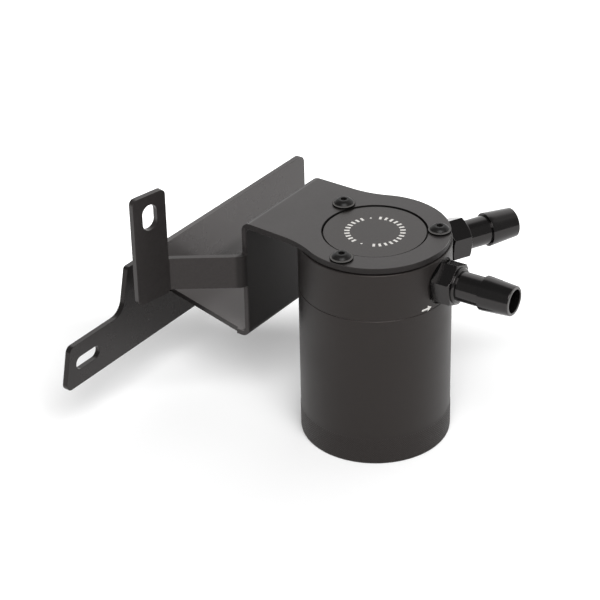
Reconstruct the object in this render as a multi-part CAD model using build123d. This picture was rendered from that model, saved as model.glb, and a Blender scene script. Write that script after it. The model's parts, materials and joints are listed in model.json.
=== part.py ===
from build123d import *
import math
import os

# Oil catch can on a folded sheet bracket, millimetres, +Z up.
# Origin: centre of the bowl's underside. +X runs from the bracket's back plate towards the can.

# Bowl
can_d = 63.5
bowl_h = 69.3
bowl_wall = 3.2
bowl_floor = 4.0
bowl_corner_r = 3.0
foot_chamfer = 0.4
split_chamfer = 0.2
grip_h = 13.2
grip_rise = 0.15

# Head, as tall as its spot-faced ports and the lands above and below them
head_edge = 0.25
seat_h = 0.6
seat_inset = 1.0
land_low = 0.3
land_top = 2.1
boss_drop = 0.4

# Screw joint between head and bowl, drawn as plain cylinders
thread_clear = 0.3
skirt_len = 10.5
skirt_wall = 4.6
skirt_lead = 0.8
seal_section_r = 1.05
seal_clear = 0.25
seal_lip = 0.6

# Ports and hose fittings
clock_deg = 34.0
port_half_deg = 30.0
spot_clear = 0.17
spot_depth = 1.45
port_clear = 0.05
port_end_gap = 1.0
passage_r = 4.5
bore_r = 5.0
shank_wall = 2.0
shank_len = 10.5
shank_chamfer = 0.8
hex_shoulder = 1.25
hex_len = 8.6
hex_chamfer = 0.9
hex_chamfer_deg = 30.0
collar_step = 0.65
collar_len = 1.2
neck_wall = 1.2
neck_len = 10.4
barb_rise = 1.0
barb_land = 1.2
barb_len = 13.5
barb_tip_rise = 0.1
barb_tip_edge = 0.4
outlet_standoff = 0.3
inlet_standoff = 2.7
outlet_hex_deg = 38.0
inlet_hex_deg = 35.0

# Filter under the outlet passage
filter_thread_r = 6.0
filter_thread_len = 5.7
filter_thread_gap = 0.5
filter_hex_flats = 17.0
filter_hex_h = 4.0
filter_spigot_len = 4.0
filter_bore_r = 4.0
filter_r = 9.5
filter_wall = 2.0
filter_len = 25.0
filter_nose_r = 5.7
filter_fit = 0.05

# Inlet tube
tube_r = 4.5
tube_wall = 0.8
tube_fit = 0.05
tube_top_gap = 1.0
tube_skirt_gap = 2.15
tube_below_baffle = 8.0
tube_cut_deg = 35.0

# Baffle and the pillars that carry it
pillar_flats = 6.0
pillar_skirt_gap = 1.2
pillar_stud_r = 1.95
pillar_stud_len = 4.0
pillar_stud_gap = 0.5
pillar_hole_len = 7.0
pillar_fit = 0.05
baffle_filter_gap = 2.8
baffle_bowl_gap = 2.25
baffle_t = 1.5
baffle_hole_r = 2.2
baffle_hole_ring_r = 9.0
baffle_hole_count = 8
baffle_screw_r = 1.5
baffle_screw_len = 6.0
baffle_screw_head_r = 3.0
baffle_screw_head_h = 2.0
baffle_screw_edge = 0.6
baffle_slot_w = 0.8
baffle_slot_depth = 1.0

# Bracket screws and washers
screw_count = 3
screw_r = 2.0
screw_len = 10.0
screw_end_gap = 1.0
screw_hole_clear = 0.25
screw_fit = 0.05
screw_head_r = 4.0
screw_rim_h = 0.35
screw_head_h = 1.75
screw_top_r = 2.1
screw_dome_r = 3.2
socket_flats = 2.5
socket_depth = 1.1
washer_r = 4.8
washer_t = 0.7
washer_edge = 0.1
washer_boss_gap = 0.4

# Folded bracket
sheet_t = 2.5
bend_r = 2.0
boss_clear = 0.8
lug_inset = 0.55
lug_waist_r = 40.0
lug_flare = 1.2
drop_dist = 47.5
drop_half_w = 24.4
shelf_z = 38.0
shelf_end_half_w = 13.2
strap_z = 63.75
strap_h = 14.7
strap_turn_deg = 53.5
strap_len = 28.2
strap_root = 1.0
strap_root_r = 1.2
tab_turn_deg = 42.0
tab_w = 17.6
tab_h = 49.0
tab_drop = 1.15
tab_corner_r = 2.4
tab_slot_w = 7.5
tab_slot_len = 11.5
tab_slot_from_top = 10.25

# Back plate with its arm
back_dist = 100.0
back_below_shelf = 15.55
back_h = 40.3
back_len = 171.5
back_far_y = 87.5
back_near_lean_deg = 13.2
back_corner_r = 4.0
back_step_r = 1.5
arm_h = 19.85
arm_reach = 34.3
arm_corner_r = 3.0
arm_inner_r = 7.0
arm_slot_w = 6.0
arm_slot_len = 15.0
arm_slot_from_tip = 10.4
arm_slot_up = 10.25

# Worked out from the sizes above: fittings
shank_r = bore_r + shank_wall
hex_flats = 2 * (shank_r + hex_shoulder)
hex_corner_r = hex_flats / math.sqrt(3)
collar_r = hex_flats / 2 - collar_step
neck_r = bore_r + neck_wall
barb_crest_r = neck_r + barb_rise
barb_tip_r = neck_r + barb_tip_rise
neck_from = hex_len + collar_len
barb_from = neck_from + neck_len
barb_to = barb_from + barb_len
outlet_deg = clock_deg - port_half_deg
inlet_deg = clock_deg + port_half_deg

# Worked out: can
can_r = can_d / 2
bowl_in_r = can_r - bowl_wall
spot_r = hex_corner_r + spot_clear
spot_dist = can_r - spot_depth
port_z = bowl_h + land_low + spot_r
port_in = spot_dist - shank_len - port_end_gap
head_top = port_z + spot_r + land_top
skirt_r = bowl_in_r - thread_clear
skirt_in_r = skirt_r - skirt_wall
seal_r = skirt_r - seal_section_r
groove_floor_r = seal_r - seal_section_r - seal_clear
groove_h = 2 * (seal_section_r + seal_clear)
groove_top = bowl_h - seal_lip
groove_low = groove_top - groove_h

# Worked out: bracket and its screws
bracket_top = head_top + sheet_t
bend_out_r = bend_r + sheet_t
lug_r = can_r - lug_inset
seat_r = lug_r - seat_inset
screw_ring_r = lug_r - washer_edge - washer_r
screw_degs = [clock_deg + k * 360 / screw_count for k in range(screw_count)]
screw_seat = bracket_top + washer_t
boss_r = screw_ring_r - washer_r - washer_boss_gap

# Worked out: inside of the can
filter_top = bowl_h - filter_hex_h
filter_low = filter_top - filter_len
baffle_top = filter_low - baffle_filter_gap
baffle_low = baffle_top - baffle_t
baffle_r = bowl_in_r - baffle_bowl_gap
pillar_dist = skirt_in_r - pillar_skirt_gap - pillar_flats / math.sqrt(3)
tube_at_r = skirt_in_r - tube_skirt_gap - tube_r


def polar(radius, degrees):
    """A point at a radius and an angle in plan."""
    angle = math.radians(degrees)
    return radius * math.cos(angle), radius * math.sin(angle)


def turned(*points):
    """A solid turned about Z from (radius, height) points."""
    return revolve(make_face(Plane.XZ * Polyline(*points, close=True)), Axis.Z)


def rod(radius, low, high, at=(0, 0)):
    """An upright cylinder from one height to another."""
    return Pos(at[0], at[1], (low + high) / 2) * Cylinder(radius, high - low)


def hex_bar(flats, low, high, corner_deg=0):
    """An upright hexagon bar, given across its flats, with a corner at an angle."""
    corners = [polar(flats / math.sqrt(3), corner_deg + 60 * k) for k in range(6)]
    return Pos(0, 0, low) * extrude(make_face(Polyline(*corners, close=True)), high - low)


def port_plane(degrees, distance):
    """A plane facing out of the head at a port: local Z outwards, local Y up."""
    x, y = polar(1, degrees)
    return Plane(origin=(distance * x, distance * y, port_z), x_dir=(-y, x, 0), z_dir=(x, y, 0))


def make_bowl():
    """Turned cup with a grip band that stands a little proud."""
    grip_r = can_r + grip_rise
    cup = turned(
        (0, 0),
        (grip_r - foot_chamfer, 0),
        (grip_r, foot_chamfer),
        (grip_r, grip_h - grip_rise),
        (can_r, grip_h),
        (can_r, bowl_h - split_chamfer),
        (can_r - split_chamfer, bowl_h),
        (bowl_in_r, bowl_h),
        (bowl_in_r, bowl_floor),
        (0, bowl_floor),
    )
    corner = cup.edges().filter_by(GeomType.CIRCLE).filter_by_position(Axis.Z, bowl_floor, bowl_floor)
    return fillet(corner, bowl_corner_r)


def make_head():
    """Turned head: skirt with a seal groove, two ports, passages down, tapped holes, seat and boss."""
    shoulder = head_top - seat_h
    head = turned(
        (0, bowl_h),
        (skirt_in_r, bowl_h),
        (skirt_in_r, bowl_h - skirt_len),
        (skirt_r - skirt_lead, bowl_h - skirt_len),
        (skirt_r, bowl_h - skirt_len + skirt_lead),
        (skirt_r, groove_low),
        (groove_floor_r, groove_low),
        (groove_floor_r, groove_top),
        (skirt_r, groove_top),
        (skirt_r, bowl_h),
        (can_r - split_chamfer, bowl_h),
        (can_r, bowl_h + split_chamfer),
        (can_r, shoulder - head_edge),
        (can_r - head_edge, shoulder),
        (seat_r, shoulder),
        (seat_r, head_top),
        (boss_r, head_top),
        (boss_r, bracket_top - boss_drop),
        (0, bracket_top - boss_drop),
    )
    for degrees in (outlet_deg, inlet_deg):
        head -= port_plane(degrees, spot_dist) * rod(spot_r, 0, can_r)
        head -= port_plane(degrees, 0) * rod(shank_r + port_clear, port_in, can_r)
    head -= port_plane(outlet_deg, 0) * rod(passage_r, 0, port_in)
    head -= rod(passage_r, bowl_h, port_z)
    head -= rod(filter_thread_r + filter_fit, bowl_h, bowl_h + filter_thread_len + filter_thread_gap)
    head -= port_plane(inlet_deg, 0) * rod(passage_r, tube_at_r, port_in)
    head -= rod(tube_r + tube_fit, bowl_h, port_z, polar(tube_at_r, inlet_deg))
    for degrees in screw_degs:
        tapped_low = screw_seat - screw_len - screw_end_gap
        head -= rod(screw_r + screw_fit, tapped_low, head_top, polar(screw_ring_r, degrees))
        stud_top = bowl_h + pillar_stud_len + pillar_stud_gap
        head -= rod(pillar_stud_r + pillar_fit, bowl_h, stud_top, polar(pillar_dist, degrees))
    return head


def make_seal():
    """Round-section ring in the skirt's groove."""
    return Pos(0, 0, (groove_low + groove_top) / 2) * Torus(seal_r, seal_section_r)


def make_fitting(degrees, standoff, hex_deg):
    """One-piece hose fitting: shank, hexagon, collar, neck and a single barb."""
    body = turned(
        (0, -shank_len),
        (shank_r - shank_chamfer, -shank_len),
        (shank_r, -shank_len + shank_chamfer),
        (shank_r, 0),
        (collar_r, hex_len / 2),
        (collar_r, neck_from - collar_len / 2),
        (collar_r - collar_len / 2, neck_from),
        (neck_r, neck_from),
        (neck_r, barb_from),
        (barb_crest_r, barb_from),
        (barb_crest_r, barb_from + barb_land),
        (barb_tip_r, barb_to - barb_tip_edge),
        (barb_tip_r - barb_tip_edge, barb_to),
        (0, barb_to),
    )
    flank = hex_chamfer * math.tan(math.radians(hex_chamfer_deg))
    barrel = turned(
        (0, 0),
        (hex_corner_r - hex_chamfer, 0),
        (hex_corner_r, flank),
        (hex_corner_r, hex_len - flank),
        (hex_corner_r - hex_chamfer, hex_len),
        (0, hex_len),
    )
    body += hex_bar(hex_flats, 0, hex_len, hex_deg) & barrel
    body -= rod(bore_r, -shank_len, barb_to)
    return port_plane(degrees, spot_dist + standoff) * body


def make_filter_base():
    """Hexagon nipple that holds the filter under the head."""
    nipple = hex_bar(filter_hex_flats, filter_top, bowl_h)
    nipple += rod(filter_thread_r, bowl_h, bowl_h + filter_thread_len)
    nipple += rod(filter_r - filter_wall - filter_fit, filter_top - filter_spigot_len, filter_top)
    return nipple - rod(filter_bore_r, filter_top - filter_spigot_len, bowl_h + filter_thread_len)


def make_filter_element():
    """Thimble of sintered metal, open at the top."""
    thimble = rod(filter_r, filter_low, filter_top)
    thimble = fillet(thimble.faces().sort_by(Axis.Z)[0].edges(), filter_nose_r)
    hollow = rod(filter_r - filter_wall, filter_low + filter_wall, filter_top)
    hollow = fillet(hollow.faces().sort_by(Axis.Z)[0].edges(), filter_nose_r - filter_wall)
    return thimble - hollow


def make_inlet_tube():
    """Drop tube with its mouth cut on the slant."""
    at = polar(tube_at_r, inlet_deg)
    top = port_z - passage_r - tube_top_gap
    low = baffle_low - tube_below_baffle
    tube = rod(tube_r, low, top, at) - rod(tube_r - tube_wall, low, top, at)
    mouth = Pos(at[0], at[1], low) * Rot(0, 0, inlet_deg) * Rot(0, tube_cut_deg, 0)
    return tube - mouth * Pos(0, 0, -tube_r) * Box(6 * tube_r, 6 * tube_r, 2 * tube_r)


def make_pillar(at):
    """Hexagon pillar with a stud at the top and a tapped hole below."""
    pillar = Pos(at[0], at[1], 0) * hex_bar(pillar_flats, baffle_top, bowl_h)
    pillar += rod(pillar_stud_r, bowl_h, bowl_h + pillar_stud_len, at)
    return pillar - rod(baffle_screw_r + pillar_fit, baffle_top, baffle_top + pillar_hole_len, at)


def make_baffle():
    """Disc with a ring of drain holes, a hole for the tube and one for each pillar's screw."""
    disc = rod(baffle_r, baffle_low, baffle_top)
    disc -= rod(tube_r + tube_fit, baffle_low, baffle_top, polar(tube_at_r, inlet_deg))
    for degrees in screw_degs:
        disc -= rod(baffle_screw_r + screw_hole_clear, baffle_low, baffle_top, polar(pillar_dist, degrees))
    for k in range(baffle_hole_count):
        at = polar(baffle_hole_ring_r, clock_deg + k * 360 / baffle_hole_count)
        disc -= rod(baffle_hole_r, baffle_low, baffle_top, at)
    return disc


def make_baffle_screw(at):
    """Slotted screw from below, through the baffle into its pillar."""
    under = baffle_low - baffle_screw_head_h
    screw = rod(baffle_screw_head_r, under, baffle_low, at)
    screw = chamfer(screw.faces().sort_by(Axis.Z)[0].edges(), baffle_screw_edge)
    screw += rod(baffle_screw_r, baffle_low, baffle_low + baffle_screw_len, at)
    slot = Box(4 * baffle_screw_head_r, baffle_slot_w, 2 * baffle_slot_depth)
    return screw - Pos(at[0], at[1], under) * slot


def make_bracket_screw(at):
    """Button-head screw: domed head with a hexagon socket."""
    sides = Polyline(
        (screw_top_r, screw_head_h),
        (0, screw_head_h),
        (0, 0),
        (screw_head_r, 0),
        (screw_head_r, screw_rim_h),
    )
    dome = RadiusArc((screw_head_r, screw_rim_h), (screw_top_r, screw_head_h), -screw_dome_r)
    head = revolve(Plane.XZ * make_face([sides, dome]), Axis.Z)
    head -= hex_bar(socket_flats, screw_head_h - socket_depth, screw_head_h)
    head += rod(screw_r, -screw_len, 0)
    return Pos(at[0], at[1], screw_seat) * head


def make_washer(at):
    """Plain washer between a screw head and the bracket."""
    ring = rod(washer_r, bracket_top, screw_seat, at)
    return ring - rod(screw_r + screw_hole_clear, bracket_top, screw_seat, at)


def lug_plan():
    """Plan of the top plate: a round lug that narrows to the bend line, with its holes."""
    far = -drop_dist - bend_out_r
    neck = Polyline(
        (far, -drop_half_w),
        (far, drop_half_w),
        (0, drop_half_w + lug_flare),
        (0, -drop_half_w - lug_flare),
        close=True,
    )
    plan = make_face(neck) + Circle(lug_r)
    waist = plan.vertices().sort_by(Axis.X)[2:4]
    plan = fillet(waist, lug_waist_r)
    plan -= Circle(boss_r + boss_clear)
    for degrees in screw_degs:
        plan -= Pos(*polar(screw_ring_r, degrees)) * Circle(screw_r + screw_hole_clear)
    return plan


def round_corner(face, corner, radius):
    """Round the corner of a flat face that lies nearest to a point."""
    return fillet(face.vertices().sort_by_distance((*corner, 0))[0], radius)


def make_strap():
    """Strap bent out of the drop plate's near edge, ending in an upright slotted tab."""
    turn = math.radians(strap_turn_deg)
    tab_turn = math.radians(tab_turn_deg)
    along = Vector(-math.sin(turn), -math.cos(turn))
    tab_dir = Vector(-math.sin(turn - tab_turn), -math.cos(turn - tab_turn))
    lead = bend_out_r * math.tan(turn / 2)
    hold = bend_r * math.tan(tab_turn / 2)
    mid = (hold + tab_w) / 2
    start = Vector(-drop_dist, strap_root - drop_half_w)
    knee = Vector(-drop_dist, -drop_half_w - lead)
    corner = knee + along * (strap_len + lead)
    stub = corner + tab_dir * mid
    line = FilletPolyline(start, knee, corner, stub, radius=[bend_out_r, bend_r])
    section = make_face(offset(line, sheet_t, side=Side.RIGHT))
    reach = strap_len + tab_w
    mid_z = strap_z + strap_h / 2
    side = Pos(-drop_half_w - reach / 2, mid_z) * Rectangle(reach, strap_h)
    side += Pos(-drop_half_w + strap_root / 2, mid_z) * Rectangle(strap_root, 2 * strap_h)
    side = round_corner(side, (-drop_half_w, strap_z), strap_root_r)
    side = round_corner(side, (-drop_half_w, strap_z + strap_h), strap_root_r)
    tall = Pos(0, 0, mid_z) * extrude(section, strap_h, both=True)
    strap = tall & (Plane.YZ * extrude(side, -back_dist))

    face = Plane(
        origin=(corner.X, corner.Y, strap_z - tab_drop),
        x_dir=(tab_dir.X, tab_dir.Y, 0),
        z_dir=(tab_dir.Y, -tab_dir.X, 0),
    )
    blank = Pos(mid, tab_h / 2) * Rectangle(tab_w - hold, tab_h)
    blank = fillet(blank.vertices(), tab_corner_r)
    blank -= Pos(mid, tab_h - tab_slot_from_top) * SlotOverall(tab_slot_len, tab_slot_w, rotation=90)
    return strap + face * extrude(blank, sheet_t)


def make_bracket():
    """Folded sheet: top plate, drop plate, shelf and the strap with its tab."""
    drop_out = -drop_dist - sheet_t
    shelf_top = shelf_z + sheet_t
    bend_low = bracket_top - bend_out_r
    side_line = FilletPolyline(
        (can_r, bracket_top),
        (drop_out, bracket_top),
        (drop_out, shelf_top),
        (-back_dist, shelf_top),
        radius=[bend_out_r, bend_r],
    )
    section = make_face(Plane.XZ * offset(side_line, sheet_t, side=Side.LEFT))
    folded = extrude(section, can_r, both=True)
    lug = Pos(0, 0, bend_low) * extrude(lug_plan(), bend_out_r)
    drop_h = bend_low - shelf_z
    drop = Pos(drop_out, 0, shelf_z + drop_h / 2) * Box(2 * bend_out_r, 2 * drop_half_w, drop_h)
    shelf_plan = Polyline(
        (-drop_dist, -drop_half_w),
        (-drop_dist, drop_half_w),
        (drop_out, drop_half_w),
        (-back_dist, shelf_end_half_w),
        (-back_dist, -shelf_end_half_w),
        (drop_out, -drop_half_w),
        close=True,
    )
    shelf = Pos(0, 0, shelf_z) * extrude(make_face(shelf_plan), sheet_t + bend_r)
    folded = folded & (lug + drop + shelf)
    return folded + make_strap()


def make_back_plate():
    """Flat plate that the shelf ends against, with a slotted arm at its near end."""
    low = shelf_z - back_below_shelf
    top = low + back_h
    arm_top = low + arm_h
    lean = math.tan(math.radians(back_near_lean_deg))
    foot_y = back_far_y - back_len
    tip_y = foot_y + lean * arm_h
    step_y = tip_y + arm_reach
    near_y = step_y + lean * (top - arm_top)
    outline = make_face(
        Polyline(
            (back_far_y, low),
            (back_far_y, top),
            (near_y, top),
            (step_y, arm_top),
            (tip_y, arm_top),
            (foot_y, low),
            close=True,
        )
    )
    outline = round_corner(outline, (back_far_y, low), back_corner_r)
    outline = round_corner(outline, (back_far_y, top), back_corner_r)
    outline = round_corner(outline, (near_y, top), back_step_r)
    outline = round_corner(outline, (step_y, arm_top), arm_inner_r)
    outline = round_corner(outline, (tip_y, arm_top), arm_corner_r)
    outline = round_corner(outline, (foot_y, low), arm_corner_r)
    slot_at = Pos(tip_y + arm_slot_from_tip, low + arm_slot_up)
    outline -= slot_at * SlotOverall(arm_slot_len, arm_slot_w)
    return Plane.YZ.offset(-back_dist) * extrude(outline, -sheet_t)


parts = {
    "bowl": make_bowl(),
    "can_head": make_head(),
    "bowl_seal": make_seal(),
    "outlet_fitting": make_fitting(outlet_deg, outlet_standoff, outlet_hex_deg),
    "inlet_fitting": make_fitting(inlet_deg, inlet_standoff, inlet_hex_deg),
    "filter_base": make_filter_base(),
    "filter_element": make_filter_element(),
    "inlet_tube": make_inlet_tube(),
    "baffle_plate": make_baffle(),
    "folded_bracket": make_bracket(),
    "back_plate": make_back_plate(),
}
for number, degrees in enumerate(screw_degs, start=1):
    parts[f"bracket_screw_{number}"] = make_bracket_screw(polar(screw_ring_r, degrees))
    parts[f"bracket_washer_{number}"] = make_washer(polar(screw_ring_r, degrees))
    parts[f"baffle_pillar_{number}"] = make_pillar(polar(pillar_dist, degrees))
    parts[f"baffle_screw_{number}"] = make_baffle_screw(polar(pillar_dist, degrees))

os.makedirs("parts", exist_ok=True)
for name, shape in parts.items():
    export_step(shape, f"parts/{name}.step")
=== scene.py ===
import json
import math

import bmesh
import bpy
from mathutils import Matrix, Vector

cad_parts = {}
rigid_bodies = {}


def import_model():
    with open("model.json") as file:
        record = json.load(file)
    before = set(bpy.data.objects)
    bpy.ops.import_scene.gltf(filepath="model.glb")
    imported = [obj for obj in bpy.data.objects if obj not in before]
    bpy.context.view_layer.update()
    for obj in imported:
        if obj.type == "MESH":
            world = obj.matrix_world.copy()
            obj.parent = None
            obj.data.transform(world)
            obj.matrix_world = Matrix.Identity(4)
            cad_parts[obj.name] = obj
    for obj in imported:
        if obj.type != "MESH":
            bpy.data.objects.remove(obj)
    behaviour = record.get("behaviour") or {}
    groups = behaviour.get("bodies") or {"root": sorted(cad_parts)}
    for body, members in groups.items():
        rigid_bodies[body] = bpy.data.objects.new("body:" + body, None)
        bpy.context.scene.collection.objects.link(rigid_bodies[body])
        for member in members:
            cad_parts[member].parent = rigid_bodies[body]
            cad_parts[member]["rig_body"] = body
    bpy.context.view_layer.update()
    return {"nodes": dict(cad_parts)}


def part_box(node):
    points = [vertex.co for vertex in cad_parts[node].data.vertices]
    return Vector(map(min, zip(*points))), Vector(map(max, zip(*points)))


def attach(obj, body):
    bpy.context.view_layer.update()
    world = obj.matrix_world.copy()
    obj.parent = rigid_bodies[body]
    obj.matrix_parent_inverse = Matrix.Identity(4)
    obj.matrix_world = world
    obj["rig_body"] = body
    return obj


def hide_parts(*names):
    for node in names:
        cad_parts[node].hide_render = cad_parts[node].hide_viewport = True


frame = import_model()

# Oil catch can on its folded bracket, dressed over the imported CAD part. Metres, +Z up.
MM = 0.001
nodes = frame["nodes"]

# Directions on the part
to_can = (1, 0, 0)
to_plate = (-1, 0, 0)
to_wing = (0, 1, 0)
to_tab = (0, -1, 0)
upward = (0, 0, 1)
downward = (0, 0, -1)

# Sizes read from the frame
band_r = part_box("bowl")[1].x
split_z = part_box("bowl")[1].z
boss_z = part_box("can_head")[1].z
plate_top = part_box("bracket_washer_1")[0].z
screw_rim_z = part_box("bracket_washer_1")[1].z

# Bracket, repeated from the part's source
sheet_t = 2.5 * MM
boss_hole_r = 21.9 * MM
drop_x = -47.5 * MM
drop_edge_y = -24.4 * MM
back_x = -100.0 * MM
shelf_top = 40.5 * MM

# Bowl, repeated from the part's source
can_r = 31.75 * MM
bowl_in_r = 28.55 * MM
bowl_floor = 4.0 * MM
bowl_corner_r = 3.0 * MM
foot_chamfer = 0.4 * MM
split_chamfer = 0.2 * MM
grip_h = 13.2 * MM

# How finely the bowl is turned and knurled
spin_steps = 360
corner_steps = 6
knurl_rows = 23
knurl_plain = 0.35 * MM
knurl_root_r = band_r - 0.2 * MM

# Marks on the head
bar_r = 11.45 * MM
bar_long = 2.2 * MM
bar_w = 1.05 * MM
bar_runs_deg = ((-58.0, 113.0, 15), (152.0, 256.0, 10))
dot_degs = (133.0, 276.0)
dot_r = 0.45 * MM
dot_sides = 16
paint_t = 0.03 * MM
arrow_z = 70.7 * MM
arrow_len = 5.2 * MM
arrow_head_len = 2.2 * MM
arrow_head_w = 2.6 * MM
arrow_stem_w = 0.8 * MM
arrow_cuts = 6
out_arrow_deg = -14.4
in_arrow_deg = 45.6

# Threads that show: a ridge's half width is a share of its pitch, its sunk part a share of its rise
skirt_r = 28.25 * MM
thread_pitch = 2.0 * MM
thread_rise = 0.2 * MM
thread_half = 0.36
thread_low = 58.8 * MM
thread_turns = 3.6
shank_r = 7.0 * MM
shank_pitch = 0.9 * MM
shank_rise = 0.22 * MM
shank_half = 0.4
shank_turns = 3
ridge_sunk = 0.25
turn_steps = 96

# Ports, repeated from the part's source
outlet_deg = 4.0
inlet_deg = 64.0
spot_dist = 30.3 * MM
port_z = 79.296 * MM

# Edges and smoothing
weld_gap = 0.001 * MM
flat_angle = math.radians(0.3)
sharp_angle = math.radians(24)
crease_angle = math.radians(40)
edge_segments = 2
sheet_edge_r = 0.2 * MM
turned_edge_r = 0.15 * MM
head_edge_r = 0.22 * MM
plate_edge_r = 0.18 * MM

# Camera, from the photo's own perspective
camera_at = Vector((444.37, -646.06, 529.61)) * MM
camera_turn_deg = (59.135, 1.133, 36.123)
camera_lens_mm = 132.0
camera_sensor_mm = 36.0
camera_reach = 20.0

# Dark and light tone of each finish
coat_tones = ((0.0155, 0.014, 0.0138), (0.0205, 0.0185, 0.0182))
plate_tones = ((0.0075, 0.0068, 0.0067), (0.0105, 0.0095, 0.0094))
can_tones = ((0.009, 0.0078, 0.0074), (0.013, 0.0113, 0.0108))
fitting_tones = ((0.0025, 0.0024, 0.0024), (0.0045, 0.0043, 0.0043))
oxide_tones = ((0.004, 0.0038, 0.0037), (0.012, 0.0114, 0.011))
washer_tones = ((0.001, 0.001, 0.001), (0.002, 0.002, 0.002))
paint_tones = ((0.5, 0.49, 0.47), (0.68, 0.66, 0.63))
rubber_tones = ((0.012, 0.012, 0.012), (0.02, 0.02, 0.02))
aluminium_tones = ((0.55, 0.55, 0.56), (0.72, 0.72, 0.73))
zinc_tones = ((0.45, 0.45, 0.46), (0.6, 0.6, 0.6))
bronze_tones = ((0.3, 0.19, 0.08), (0.5, 0.34, 0.16))

# Painted light and shade: lighter shelf and back plate, darker rim, fold and boss-hole edge, highlights on
# screw rims and fitting mouths
shelf_painted_light = (0.075, 0.07, 0.069)
shelf_painted_light_deep = (0.12, 0.113, 0.111)
plate_painted_light_far = (0.03, 0.0278, 0.0274)
plate_painted_light_near = (0.053, 0.0493, 0.0486)
fold_painted_shade = (0.0055, 0.005, 0.0049)
rim_painted_shade = (0.006, 0.0055, 0.0054)
hole_painted_shade = (0.001, 0.001, 0.001)
screw_rim_painted_highlight = (0.1, 0.096, 0.093)
mouth_painted_highlight = (0.06, 0.058, 0.056)

# Gloss: roughness, its spread, refraction and the tint of reflections
coat_roughness = 0.31
plate_roughness = 0.28
dry_roughness = 0.6
can_roughness = 0.46
boss_roughness = 0.25
fitting_roughness = (0.11, 0.18)
oxide_roughness = 0.36
washer_roughness = 0.8
paint_roughness = 0.5
rubber_roughness = 0.6
aluminium_roughness = 0.35
zinc_roughness = 0.3
bronze_roughness = 0.55
roughness_spread = 0.03
plain_ior = 1.5
coat_ior = 1.6
can_ior = 1.6
fitting_ior = 1.52
oxide_ior = 1.26
washer_ior = 1.18
coat_tint = (0.48, 0.44, 0.43, 1)
can_tint = (0.48, 0.43, 0.41, 1)
fitting_tint = (1, 0.95, 0.94, 1)

# Fineness of the patterns, in patches or rings to the metre
coat_mottle = 900.0
coat_grain = 1400.0
coat_sheen = 70.0
can_rings = 3500.0
can_sheen = 45.0
fitting_rings = 2500.0
fitting_sheen = 60.0
oxide_mottle = 1800.0
paint_mottle = 1500.0
metal_mottle = 700.0
ring_detail = 3.0
ring_roughness = 0.65
mottle_detail = 4.0
mottle_range = (0.3, 0.7)

# Strength and depth of the bump on each finish
coat_bump = (0.012, 0.03 * MM)
can_bump = (0.2, 0.015 * MM)
fitting_bump = (0.25, 0.015 * MM)
oxide_bump = (0.12, 0.02 * MM)
metal_bump = (0.2, 0.03 * MM)

# Bands where a finish changes: low end, high end and softness along a direction
shelf_across = (back_x + 0.1 * MM, drop_x - sheet_t - 0.3 * MM, 0.5 * MM)
shelf_level = (shelf_top - 0.35 * MM, shelf_top + 0.7 * MM, 0.2 * MM)
rim_level = (plate_top - sheet_t, plate_top - 0.15 * MM, 0.15 * MM)
fold_face = (drop_x - 0.9 * MM, drop_x + 0.9 * MM, 0.5 * MM)
fold_bend = (drop_x - 3.6 * MM, drop_x + 0.9 * MM, 1.6 * MM)

# Ramps where a finish changes: start and end along a direction
shelf_deep = (55.0 * MM, 98.0 * MM)
rim_past_tab = (-39.0 * MM, -37.0 * MM)
strap_root = (0.1 * MM - drop_edge_y, 0.5 * MM - drop_edge_y)
plate_depth = (-0.05 * MM - back_x, -0.02 * MM - back_x)
plate_past_arm = (-40.0 * MM, -10.0 * MM)
plate_over_shelf = (shelf_top - 2.0 * MM, shelf_top + 4.0 * MM)
plate_near = (-65.0 * MM, 0.0)
boss_face = (boss_z - 0.6 * MM, boss_z - 0.3 * MM)
screw_rim_under = (-screw_rim_z - 0.4 * MM, -screw_rim_z - 0.2 * MM)
screw_rim_over = (screw_rim_z - 0.02 * MM, screw_rim_z)

# Radii of the boss hole's rougher edge with its painted shade, and how far the painted highlight reaches
# back from a fitting's mouth
hole_edge = (boss_hole_r, boss_hole_r + 0.15 * MM)
mouth_highlight_reach = (0.4 * MM, 0.15 * MM)

# Light and floor
floor_size = 6.0
floor_grey = 0.82
floor_lift = 0.11
floor_painted_glow = 0.65
floor_behind_way = (-0.5, 0.87, 0)
floor_behind = (65.0 * MM, 125.0 * MM)
sky_back = 1.25
sky_front = 0.28
sky_overhead = 0.16
sky_wall_way = Vector((-0.25, 0.97, 0)).normalized()
sky_wall_side = (0.05, 0.65)
sky_wall_top = (0.72, 0.88)
softbox_size = 1.6
softbox_at = Vector((1.03, -1.06, 1.89))
softbox_watts = 66.0


# Node helpers

def add(tree, kind, **settings):
    """A node in a tree, with its settings."""
    node = tree.nodes.new(kind)
    for key, value in settings.items():
        setattr(node, key, value)
    return node


def wire(tree, start, end):
    """A link from one socket to another."""
    tree.links.new(start, end)


def from_axis(tree, place):
    """How far a place is from the Z axis."""
    flat = add(tree, "ShaderNodeVectorMath", operation="MULTIPLY")
    flat.inputs[1].default_value = (1, 1, 0)
    length = add(tree, "ShaderNodeVectorMath", operation="LENGTH")
    wire(tree, place, flat.inputs[0])
    wire(tree, flat.outputs["Vector"], length.inputs[0])
    return length.outputs["Value"]


def new_group(name, inputs, outputs):
    """An empty shader group with named sockets, and its two end nodes."""
    group = bpy.data.node_groups.new(name, "ShaderNodeTree")
    for label, kind, value in inputs:
        socket = group.interface.new_socket(label, in_out="INPUT", socket_type=kind)
        if value is not None:
            socket.default_value = value
    for label, kind in outputs:
        group.interface.new_socket(label, in_out="OUTPUT", socket_type=kind)
    return group, group.nodes.new("NodeGroupInput"), group.nodes.new("NodeGroupOutput")


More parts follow.
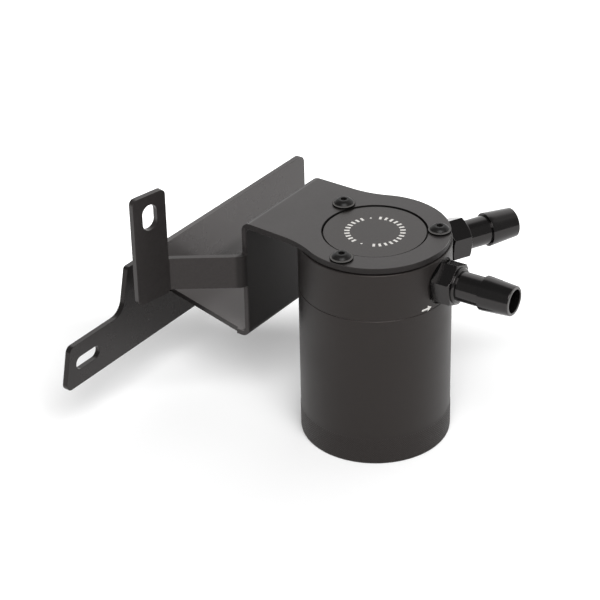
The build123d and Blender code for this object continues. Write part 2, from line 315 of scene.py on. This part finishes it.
def turning_marks_group():
    """Fine rings left by a lathe: a value that changes with radius and height only."""
    group, start, end = new_group(
        "turning_marks",
        [("Vector", "NodeSocketVector", None), ("Scale", "NodeSocketFloat", None)],
        [("Mark", "NodeSocketFloat")],
    )
    split = add(group, "ShaderNodeSeparateXYZ")
    section = add(group, "ShaderNodeCombineXYZ")
    noise = add(group, "ShaderNodeTexNoise", noise_dimensions="2D")
    noise.inputs["Detail"].default_value = ring_detail
    noise.inputs["Roughness"].default_value = ring_roughness
    wire(group, start.outputs["Vector"], split.inputs[0])
    wire(group, from_axis(group, start.outputs["Vector"]), section.inputs["X"])
    wire(group, split.outputs["Z"], section.inputs["Y"])
    wire(group, section.outputs["Vector"], noise.inputs["Vector"])
    wire(group, start.outputs["Scale"], noise.inputs["Scale"])
    wire(group, noise.outputs["Fac"], end.inputs["Mark"])
    return group


def mottle_group():
    """Soft uneven patches between two values."""
    group, start, end = new_group(
        "mottle",
        [
            ("Vector", "NodeSocketVector", None),
            ("Scale", "NodeSocketFloat", None),
            ("Low", "NodeSocketFloat", 0.0),
            ("High", "NodeSocketFloat", 1.0),
        ],
        [("Value", "NodeSocketFloat")],
    )
    noise = add(group, "ShaderNodeTexNoise")
    noise.inputs["Detail"].default_value = mottle_detail
    spread = add(group, "ShaderNodeMapRange")
    spread.inputs["From Min"].default_value = mottle_range[0]
    spread.inputs["From Max"].default_value = mottle_range[1]
    wire(group, start.outputs["Vector"], noise.inputs["Vector"])
    wire(group, start.outputs["Scale"], noise.inputs["Scale"])
    wire(group, noise.outputs["Fac"], spread.inputs["Value"])
    wire(group, start.outputs["Low"], spread.inputs["To Min"])
    wire(group, start.outputs["High"], spread.inputs["To Max"])
    wire(group, spread.outputs["Result"], end.inputs["Value"])
    return group


def step_group():
    """0 before a place along a direction and 1 after it, with a soft change between."""
    group, start, end = new_group(
        "step",
        [
            ("Vector", "NodeSocketVector", None),
            ("Direction", "NodeSocketVector", upward),
            ("From", "NodeSocketFloat", 0.0),
            ("To", "NodeSocketFloat", 1.0),
        ],
        [("Value", "NodeSocketFloat")],
    )
    along = add(group, "ShaderNodeVectorMath", operation="DOT_PRODUCT")
    change = add(group, "ShaderNodeMapRange", interpolation_type="SMOOTHSTEP")
    wire(group, start.outputs["Vector"], along.inputs[0])
    wire(group, start.outputs["Direction"], along.inputs[1])
    wire(group, along.outputs["Value"], change.inputs["Value"])
    wire(group, start.outputs["From"], change.inputs["From Min"])
    wire(group, start.outputs["To"], change.inputs["From Max"])
    wire(group, change.outputs["Result"], end.inputs["Value"])
    return group


turning_marks = turning_marks_group()
mottle = mottle_group()
step = step_group()


def new_material(name, roughness, ior=plain_ior, metallic=0.0):
    """A material with its shader, tree and Object coordinates."""
    material = bpy.data.materials.new(name)
    material.use_nodes = True
    tree = material.node_tree
    shader = tree.nodes["Principled BSDF"]
    shader.inputs["Roughness"].default_value = roughness
    shader.inputs["IOR"].default_value = ior
    shader.inputs["Metallic"].default_value = metallic
    place = add(tree, "ShaderNodeTexCoord").outputs["Object"]
    return material, tree, shader, place


def place_group(tree, group, vector, **values):
    """A group in a material's tree, fed with a vector and its own values."""
    node = add(tree, "ShaderNodeGroup", node_tree=group)
    wire(tree, vector, node.inputs["Vector"])
    for label, value in values.items():
        node.inputs[label].default_value = value
    return node.outputs[0]


def mix_colour(tree, factor, first, second):
    """A colour between two others, which may be tones or sockets."""
    node = add(tree, "ShaderNodeMix", data_type="RGBA")
    wire(tree, factor, node.inputs["Factor"])
    for label, colour in (("A", first), ("B", second)):
        if isinstance(colour, tuple):
            node.inputs[label].default_value = (*colour, 1)
        else:
            wire(tree, colour, node.inputs[label])
    return node.outputs["Result"]


def mix_value(tree, factor, low, high):
    """A value between two others, which may be numbers or sockets."""
    node = add(tree, "ShaderNodeMix", data_type="FLOAT")
    wire(tree, factor, node.inputs["Factor"])
    for label, value in (("A", low), ("B", high)):
        if isinstance(value, float):
            node.inputs[label].default_value = value
        else:
            wire(tree, value, node.inputs[label])
    return node.outputs["Result"]


def two_tone(tree, shader, factor, tones):
    """Base colour between a dark and a light tone."""
    wire(tree, mix_colour(tree, factor, *tones), shader.inputs["Base Color"])


def emboss(tree, shader, height, strength, depth):
    """A bump from a height."""
    bump = add(tree, "ShaderNodeBump")
    bump.inputs["Strength"].default_value = strength
    bump.inputs["Distance"].default_value = depth
    wire(tree, height, bump.inputs["Height"])
    wire(tree, bump.outputs["Normal"], shader.inputs["Normal"])


# Masks

def either_of(tree, first, second):
    """The larger of two masks."""
    node = add(tree, "ShaderNodeMath", operation="MAXIMUM")
    wire(tree, first, node.inputs[0])
    wire(tree, second, node.inputs[1])
    return node.outputs["Value"]


def both_of(tree, first, second):
    """The part that two masks share."""
    node = add(tree, "ShaderNodeMath", operation="MULTIPLY")
    wire(tree, first, node.inputs[0])
    wire(tree, second, node.inputs[1])
    return node.outputs["Value"]


def ramp(tree, place, direction, start, end):
    """0 before a start along a direction and 1 after an end."""
    return place_group(tree, step, place, Direction=direction, From=start, To=end)


def between(tree, place, direction, low, high, soft):
    """1 between two places along a direction, with soft ends."""
    back = tuple(-part for part in direction)
    after = ramp(tree, place, direction, low, low + soft)
    before = ramp(tree, place, back, -high, soft - high)
    return both_of(tree, after, before)


def inside_radius(tree, place, inner, outer):
    """1 within a radius of the Z axis and 0 beyond it."""
    change = add(tree, "ShaderNodeMapRange")
    change.inputs["From Min"].default_value = outer
    change.inputs["From Max"].default_value = inner
    wire(tree, from_axis(tree, place), change.inputs["Value"])
    return change.outputs["Result"]


def shelf_mask(tree, place):
    """The upper face of the bracket's shelf."""
    across = between(tree, place, to_can, *shelf_across)
    level = between(tree, place, upward, *shelf_level)
    return both_of(tree, across, level)


def rim_mask(tree, place):
    """The cut edge of the top plate, without the tab."""
    past_tab = ramp(tree, place, to_wing, *rim_past_tab)
    level = between(tree, place, upward, *rim_level)
    return both_of(tree, past_tab, level)


def plate_mask(tree, place):
    """The back plate above the shelf and beyond its arm."""
    plate = ramp(tree, place, to_plate, *plate_depth)
    past_arm = ramp(tree, place, to_wing, *plate_past_arm)
    above = ramp(tree, place, upward, *plate_over_shelf)
    return both_of(tree, plate, both_of(tree, past_arm, above))


def fold_mask(tree, place):
    """The inner face of the drop plate, and the bend where the strap leaves it."""
    face = between(tree, place, to_can, *fold_face)
    bend = between(tree, place, to_can, *fold_bend)
    beyond = ramp(tree, place, to_tab, *strap_root)
    return either_of(tree, face, both_of(tree, bend, beyond))


# Finishes

def powder_coat(name, roughness, tones):
    """Satin black powder coat, rougher on its rim, folds and hole, which are painted in shade, with painted
    light on the shelf and the plate over it.
    """
    material, tree, shader, place = new_material(name, roughness, coat_ior)
    shader.inputs["Specular Tint"].default_value = coat_tint
    tone = place_group(tree, mottle, place, Scale=coat_mottle)
    # Painted light: the shelf's face lighter, most toward the back plate, and the back plate above it
    # lighter, most toward the tab
    deep = ramp(tree, place, to_plate, *shelf_deep)
    shelf_light = mix_colour(tree, deep, shelf_painted_light, shelf_painted_light_deep)
    near = ramp(tree, place, to_tab, *plate_near)
    plate_light = mix_colour(tree, near, plate_painted_light_far, plate_painted_light_near)
    rim = rim_mask(tree, place)
    fold = fold_mask(tree, place)
    hole = inside_radius(tree, place, *hole_edge)
    colour = mix_colour(tree, tone, *tones)
    # Painted light on the back plate over the shelf
    colour = mix_colour(tree, plate_mask(tree, place), colour, plate_light)
    colour = mix_colour(tree, shelf_mask(tree, place), colour, shelf_light)
    # Painted shade on the top plate's cut edge
    colour = mix_colour(tree, rim, colour, rim_painted_shade)
    # Painted shade on the drop plate's inner face and the strap's bend
    colour = mix_colour(tree, fold, colour, fold_painted_shade)
    # Painted shade round the edge of the boss hole
    colour = mix_colour(tree, hole, colour, hole_painted_shade)
    wire(tree, colour, shader.inputs["Base Color"])
    low = roughness - roughness_spread
    high = roughness + roughness_spread
    satin = place_group(tree, mottle, place, Scale=coat_sheen, Low=low, High=high)
    dry = either_of(tree, either_of(tree, fold, hole), rim)
    wire(tree, mix_value(tree, dry, satin, dry_roughness), shader.inputs["Roughness"])
    emboss(tree, shader, place_group(tree, mottle, place, Scale=coat_grain), *coat_bump)
    return material


def turned_anodise(name, roughness, tones):
    """Dyed anodised aluminium of the can, with fine lathe rings about Z and a smoother boss face."""
    material, tree, shader, place = new_material(name, roughness, can_ior)
    shader.inputs["Specular Tint"].default_value = can_tint
    mark = place_group(tree, turning_marks, place, Scale=can_rings)
    two_tone(tree, shader, mark, tones)
    low = roughness - roughness_spread
    high = roughness + roughness_spread
    satin = place_group(tree, mottle, place, Scale=can_sheen, Low=low, High=high)
    top = ramp(tree, place, upward, *boss_face)
    wire(tree, mix_value(tree, top, satin, boss_roughness), shader.inputs["Roughness"])
    emboss(tree, shader, mark, *can_bump)
    return material


def fitting_anodise(end, degrees):
    """Glossy black anodise with lathe rings about a hose fitting's own axis, and a painted highlight at the
    mouth.
    """
    low, high = fitting_roughness
    material, tree, shader, place = new_material(end + "_black", low, fitting_ior)
    shader.inputs["Specular Tint"].default_value = fitting_tint
    axis = Vector((math.cos(math.radians(degrees)), math.sin(math.radians(degrees)), 0))
    mouth = max(vert.co.dot(axis) for vert in nodes[end + "_fitting"].data.vertices)
    turn = add(tree, "ShaderNodeMapping", vector_type="POINT")
    turn.inputs["Location"].default_value = (0, -port_z, 0)
    turn.inputs["Rotation"].default_value = (-math.pi / 2, -math.pi / 2 - math.radians(degrees), 0)
    wire(tree, place, turn.inputs["Vector"])
    along = turn.outputs["Vector"]
    mark = place_group(tree, turning_marks, along, Scale=fitting_rings)
    black = mix_colour(tree, mark, *fitting_tones)
    # Painted highlight on the mouth's rim
    mouth_highlight = ramp(tree, along, upward, mouth - mouth_highlight_reach[0], mouth - mouth_highlight_reach[1])
    wire(tree, mix_colour(tree, mouth_highlight, black, mouth_painted_highlight), shader.inputs["Base Color"])
    gloss = place_group(tree, mottle, along, Scale=fitting_sheen, Low=low, High=high)
    wire(tree, gloss, shader.inputs["Roughness"])
    emboss(tree, shader, mark, *fitting_bump)
    return material


def black_oxide(name, roughness, ior, tones):
    """Oiled black finish of the screws and washers, with a painted highlight round the screws' rims."""
    material, tree, shader, place = new_material(name, roughness, ior)
    tone = place_group(tree, mottle, place, Scale=oxide_mottle)
    black = mix_colour(tree, tone, *tones)
    under = ramp(tree, place, downward, *screw_rim_under)
    over = ramp(tree, place, upward, *screw_rim_over)
    # Painted highlight on the screws' rims
    colour = mix_colour(tree, both_of(tree, under, over), black, screw_rim_painted_highlight)
    wire(tree, colour, shader.inputs["Base Color"])
    emboss(tree, shader, tone, *oxide_bump)
    return material


def marking_paint():
    """Thin off-white paint of the printed marks."""
    material, tree, shader, place = new_material("marking_paint", paint_roughness)
    tone = place_group(tree, mottle, place, Scale=paint_mottle)
    two_tone(tree, shader, tone, paint_tones)
    return material


def plain_finish(name, roughness, tones, metallic=1.0):
    """Plain mottled finish of the pieces inside the can, bare metal unless it says otherwise."""
    material, tree, shader, place = new_material(name, roughness, metallic=metallic)
    tone = place_group(tree, mottle, place, Scale=metal_mottle)
    two_tone(tree, shader, tone, tones)
    emboss(tree, shader, tone, *metal_bump)
    return material


# Mesh helpers

def finish_piece(name, bm, body, material, smooth=True):
    """Make a bmesh a named piece that rides on a body."""
    mesh = bpy.data.meshes.new(name)
    bm.to_mesh(mesh)
    bm.free()
    if "custom_normal" in mesh.attributes:
        mesh.attributes.remove(mesh.attributes["custom_normal"])
    mesh.polygons.foreach_set("use_smooth", [smooth] * len(mesh.polygons))
    mesh.set_sharp_from_angle(angle=crease_angle)
    mesh.materials.clear()
    mesh.materials.append(material)
    piece = bpy.data.objects.new(name, mesh)
    bpy.context.scene.collection.objects.link(piece)
    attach(piece, body)
    return piece


def eased_copy(node, edge_r, material):
    """A CAD node with its outer edges eased, standing for the node."""
    bm = bmesh.new()
    bm.from_mesh(nodes[node].data)
    bmesh.ops.remove_doubles(bm, verts=bm.verts, dist=weld_gap)
    bmesh.ops.dissolve_limit(bm, angle_limit=flat_angle, verts=bm.verts, edges=bm.edges)
    sharp = [e for e in bm.edges if e.is_convex and e.calc_face_angle(0) > sharp_angle]
    bmesh.ops.bevel(
        bm,
        geom=sharp,
        offset=edge_r,
        offset_type="OFFSET",
        affect="EDGES",
        segments=edge_segments,
        profile=0.5,
        clamp_overlap=True,
        material=-1,
    )
    piece = finish_piece(node + "_eased", bm, nodes[node]["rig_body"], material)
    even = piece.modifiers.new("even_normals", "WEIGHTED_NORMAL")
    even.keep_sharp = True
    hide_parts(node)


def lathe(section, steps):
    """A closed turned shape about Z from its half section of (radius, height) points."""
    bm = bmesh.new()
    verts = [bm.verts.new((radius, 0, height)) for radius, height in section]
    edges = [bm.edges.new(pair) for pair in zip(verts, verts[1:])]
    bmesh.ops.spin(
        bm,
        geom=verts + edges,
        axis=upward,
        cent=(0, 0, 0),
        angle=math.tau,
        steps=steps,
        use_merge=True,
    )
    bmesh.ops.remove_doubles(bm, verts=bm.verts, dist=weld_gap)
    bmesh.ops.recalc_face_normals(bm, faces=bm.faces)
    return bm


def helix(section, turns, pitch):
    """A closed ridge wound about Z from a section of (radius, height) points."""
    bm = bmesh.new()
    verts = [bm.verts.new((radius, 0, height)) for radius, height in section]
    edges = [bm.edges.new(pair) for pair in zip(verts, verts[1:] + verts[:1])]
    bmesh.ops.spin(
        bm,
        geom=verts + edges,
        axis=upward,
        cent=(0, 0, 0),
        dvec=(0, 0, pitch / turn_steps),
        angle=math.tau * turns,
        steps=round(turns * turn_steps),
    )
    bmesh.ops.holes_fill(bm, edges=[e for e in bm.edges if e.is_boundary], sides=0)
    bmesh.ops.recalc_face_normals(bm, faces=bm.faces)
    return bm


def dress(node, material):
    """A finish on a CAD node that keeps its own shape."""
    for slot in nodes[node].material_slots:
        slot.material = material


# Turned, printed and threaded pieces

def make_bowl(material):
    """Bowl with a diamond-knurled grip band round its foot."""
    band_low = foot_chamfer + knurl_plain
    row_h = (grip_h - knurl_plain - band_low) / (knurl_rows - 1)
    section = [(0, 0), (can_r - foot_chamfer, 0), (can_r, foot_chamfer)]
    section += [(can_r, band_low + row * row_h) for row in range(knurl_rows)]
    section += [(can_r, grip_h), (can_r, split_z - split_chamfer), (can_r - split_chamfer, split_z)]
    section += [(bowl_in_r, split_z)]
    for number in range(corner_steps + 1):
        turn = math.pi / 2 * number / corner_steps
        across = bowl_in_r - bowl_corner_r * (1 - math.cos(turn))
        section.append((across, bowl_floor + bowl_corner_r * (1 - math.sin(turn))))
    section.append((0, bowl_floor))
    bm = lathe(section, spin_steps)
    roots = []
    for vert in bm.verts:
        row = round((vert.co.z - band_low) / row_h)
        out = vert.co.xy.length
        if not 0 < row < knurl_rows - 1 or out < can_r - weld_gap:
            continue
        column = round(math.atan2(vert.co.y, vert.co.x) / math.tau * spin_steps)
        is_root = (row + column) % 2 == 0
        vert.co.xy *= (knurl_root_r if is_root else band_r) / out
        if is_root:
            roots.append(vert)
    bmesh.ops.connect_verts(bm, verts=roots)
    piece = finish_piece("bowl_knurled", bm, "bowl", material)
    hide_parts("bowl")


def on_boss(degrees):
    """Place of a painted mark on the boss, turned about the can's axis."""
    turn = Matrix.Rotation(math.radians(degrees), 4, "Z")
    return turn @ Matrix.Translation((bar_r, 0, boss_z + paint_t / 2))


def make_mark_ring(material):
    """Ring of painted bars on the boss, in two runs with a dot between them at each end."""
    bm = bmesh.new()
    bar = Matrix.Diagonal((bar_long, bar_w, paint_t, 1))
    for first, last, count in bar_runs_deg:
        for number in range(count):
            degrees = first + (last - first) * number / (count - 1)
            bmesh.ops.create_cube(bm, size=1, matrix=on_boss(degrees) @ bar)
    for degrees in dot_degs:
        bmesh.ops.create_cone(
            bm,
            cap_ends=True,
            segments=dot_sides,
            radius1=dot_r,
            radius2=dot_r,
            depth=paint_t,
            matrix=on_boss(degrees),
        )
    finish_piece("boss_mark_ring", bm, "head", material, smooth=False)


def make_flow_arrow(name, degrees, material, forward):
    """Painted arrow wrapped on the head's side, pointing along or against the turn."""
    bm = bmesh.new()
    tip = arrow_len / 2
    tail = -tip
    neck = tip - arrow_head_len
    stem = arrow_stem_w / 2
    outline = [(tail, -stem), (neck, -stem), (neck, -arrow_head_w / 2), (tip, 0)]
    outline += [(along, -up) for along, up in reversed(outline[:3])]
    bm.faces.new([bm.verts.new((0, along * forward, up)) for along, up in outline])
    for cut in range(1, arrow_cuts):
        along = tail + arrow_len * cut / arrow_cuts
        geom = bm.verts[:] + bm.edges[:] + bm.faces[:]
        bmesh.ops.bisect_plane(bm, geom=geom, plane_co=(0, along, 0), plane_no=(0, 1, 0))
    bmesh.ops.recalc_face_normals(bm, faces=bm.faces)
    if bm.faces[:][0].normal.x < 0:
        bmesh.ops.reverse_faces(bm, faces=bm.faces)
    bmesh.ops.solidify(bm, geom=bm.faces[:], thickness=paint_t)
    for vert in bm.verts:
        out = can_r + paint_t + vert.co.x
        turn = math.radians(degrees) + vert.co.y / can_r
        vert.co = (out * math.cos(turn), out * math.sin(turn), arrow_z + vert.co.z)
    bmesh.ops.recalc_face_normals(bm, faces=bm.faces)
    finish_piece(name, bm, "head", material, smooth=False)


def make_skirt_thread(material):
    """Thread ridge round the head's skirt, seen when the can is unscrewed."""
    root = skirt_r - thread_rise * ridge_sunk
    half = thread_pitch * thread_half
    section = [(root, thread_low - half), (skirt_r + thread_rise, thread_low), (root, thread_low + half)]
    bm = helix(section, thread_turns, thread_pitch)
    finish_piece("skirt_thread", bm, "head", material)


def make_shank_thread(material):
    """Thread ridge on the inlet's shank, between its hexagon and the head."""
    root = shank_r - shank_rise * ridge_sunk
    half = shank_pitch * shank_half
    section = [(root, -half), (shank_r + shank_rise, 0), (root, half)]
    bm = helix(section, shank_turns, shank_pitch)
    to_port = Matrix.Rotation(math.radians(inlet_deg), 4, "Z")
    start = Matrix.Translation(to_port @ Vector((spot_dist, 0, port_z)))
    lay_down = Matrix.Rotation(math.pi / 2, 4, "Y")
    bmesh.ops.transform(bm, matrix=start @ to_port @ lay_down, verts=bm.verts)
    finish_piece("inlet_shank_thread", bm, "head", material)


# The stage

def make_camera():
    """Camera at the photo's place, with a long lens."""
    lens = bpy.data.cameras.new("photo_view")
    lens.lens = camera_lens_mm
    lens.sensor_width = camera_sensor_mm
    lens.clip_end = camera_reach
    camera = bpy.data.objects.new("photo_view", lens)
    camera.location = camera_at
    camera.rotation_euler = [math.radians(a) for a in camera_turn_deg]
    bpy.context.scene.collection.objects.link(camera)
    bpy.context.scene.camera = camera


def seen_directly(tree):
    """1 where a ray comes from the eye, a reflection or glass."""
    path = add(tree, "ShaderNodeLightPath")
    plain = either_of(tree, path.outputs["Is Camera Ray"], path.outputs["Is Glossy Ray"])
    return either_of(tree, plain, path.outputs["Is Transmission Ray"])


def make_floor():
    """Pale floor that keeps the shadow and runs out to white."""
    bm = bmesh.new()
    bmesh.ops.create_grid(bm, x_segments=1, y_segments=1, size=floor_size / 2)
    mesh = bpy.data.meshes.new("floor")
    bm.to_mesh(mesh)
    bm.free()
    material = bpy.data.materials.new("floor_white")
    material.use_nodes = True
    tree = material.node_tree
    tree.nodes.clear()
    matte = add(tree, "ShaderNodeBsdfDiffuse")
    matte.inputs["Color"].default_value = (floor_grey, floor_grey, floor_grey, 1)
    glow = add(tree, "ShaderNodeEmission")
    place = add(tree, "ShaderNodeTexCoord").outputs["Object"]
    # Painted glow: behind the object the floor shines brighter to the eye and in reflections
    behind = ramp(tree, place, floor_behind_way, *floor_behind)
    lift = mix_value(tree, behind, floor_lift, floor_painted_glow)
    both = add(tree, "ShaderNodeAddShader")
    out = add(tree, "ShaderNodeOutputMaterial")
    wire(tree, both_of(tree, seen_directly(tree), lift), glow.inputs["Strength"])
    wire(tree, matte.outputs["BSDF"], both.inputs[0])
    wire(tree, glow.outputs["Emission"], both.inputs[1])
    wire(tree, both.outputs["Shader"], out.inputs["Surface"])
    mesh.materials.append(material)
    floor = bpy.data.objects.new("floor", mesh)
    bpy.context.scene.collection.objects.link(floor)


def make_sky():
    """White wall behind the object, a dimmer room behind the camera, and a dark ceiling."""
    world = bpy.data.worlds.new("studio")
    bpy.context.scene.world = world
    world.use_nodes = True
    tree = world.node_tree
    back = tree.nodes["Background"]
    back.inputs["Color"].default_value = (1, 1, 1, 1)
    direction = add(tree, "ShaderNodeTexCoord").outputs["Generated"]
    side = add(tree, "ShaderNodeVectorMath", operation="DOT_PRODUCT")
    side.inputs[1].default_value = sky_wall_way
    wall = add(tree, "ShaderNodeMapRange", interpolation_type="SMOOTHSTEP")
    wall.inputs["From Min"].default_value = sky_wall_side[0]
    wall.inputs["From Max"].default_value = sky_wall_side[1]
    wall.inputs["To Min"].default_value = sky_front
    wall.inputs["To Max"].default_value = sky_back
    split = add(tree, "ShaderNodeSeparateXYZ")
    ceiling = add(tree, "ShaderNodeMapRange", interpolation_type="SMOOTHSTEP")
    ceiling.inputs["From Min"].default_value = sky_wall_top[0]
    ceiling.inputs["From Max"].default_value = sky_wall_top[1]
    wire(tree, direction, side.inputs[0])
    wire(tree, side.outputs["Value"], wall.inputs["Value"])
    wire(tree, direction, split.inputs[0])
    wire(tree, split.outputs["Z"], ceiling.inputs["Value"])
    level = mix_value(tree, ceiling.outputs["Result"], wall.outputs["Result"], sky_overhead)
    wire(tree, level, back.inputs["Strength"])


def make_softbox():
    """Large soft lamp over the camera's right shoulder, turned to the can."""
    lamp = bpy.data.lights.new("softbox", "AREA")
    lamp.size = softbox_size
    lamp.energy = softbox_watts
    obj = bpy.data.objects.new("softbox", lamp)
    obj.location = softbox_at
    obj.rotation_euler = (-softbox_at).to_track_quat("-Z", "Y").to_euler()
    bpy.context.scene.collection.objects.link(obj)


bpy.context.scene.view_settings.view_transform = "Standard"
make_camera()
make_floor()
make_sky()
make_softbox()

# Finishes of the outer pieces
coat = powder_coat("bracket_coat", coat_roughness, coat_tones)
plate_coat = powder_coat("plate_coat", plate_roughness, plate_tones)
can_black = turned_anodise("can_black", can_roughness, can_tones)
fitting_black = {
    "outlet": fitting_anodise("outlet", outlet_deg),
    "inlet": fitting_anodise("inlet", inlet_deg),
}
oxide = black_oxide("black_oxide", oxide_roughness, oxide_ior, oxide_tones)
washer_black = black_oxide("washer_black", washer_roughness, washer_ior, washer_tones)
paint = marking_paint()

# Outer pieces
eased_copy("folded_bracket", sheet_edge_r, coat)
eased_copy("back_plate", plate_edge_r, plate_coat)
eased_copy("can_head", head_edge_r, can_black)
for end in ("outlet", "inlet"):
    eased_copy(end + "_fitting", turned_edge_r, fitting_black[end])
for number in (1, 2, 3):
    eased_copy(f"bracket_screw_{number}", turned_edge_r, oxide)
    eased_copy(f"bracket_washer_{number}", turned_edge_r, washer_black)
make_bowl(can_black)
make_skirt_thread(can_black)
make_shank_thread(fitting_black["inlet"])
make_mark_ring(paint)
make_flow_arrow("outlet_arrow", out_arrow_deg, paint, 1)
make_flow_arrow("inlet_arrow", in_arrow_deg, paint, -1)

# Pieces inside the can
rubber = plain_finish("seal_rubber", rubber_roughness, rubber_tones, metallic=0.0)
aluminium = plain_finish("inner_aluminium", aluminium_roughness, aluminium_tones)
zinc = plain_finish("zinc_steel", zinc_roughness, zinc_tones)
bronze = plain_finish("sintered_bronze", bronze_roughness, bronze_tones)
dress("bowl_seal", rubber)
for name in ("filter_base", "inlet_tube", "baffle_plate"):
    dress(name, aluminium)
for number in (1, 2, 3):
    dress(f"baffle_pillar_{number}", aluminium)
    dress(f"baffle_screw_{number}", zinc)
dress("filter_element", bronze)
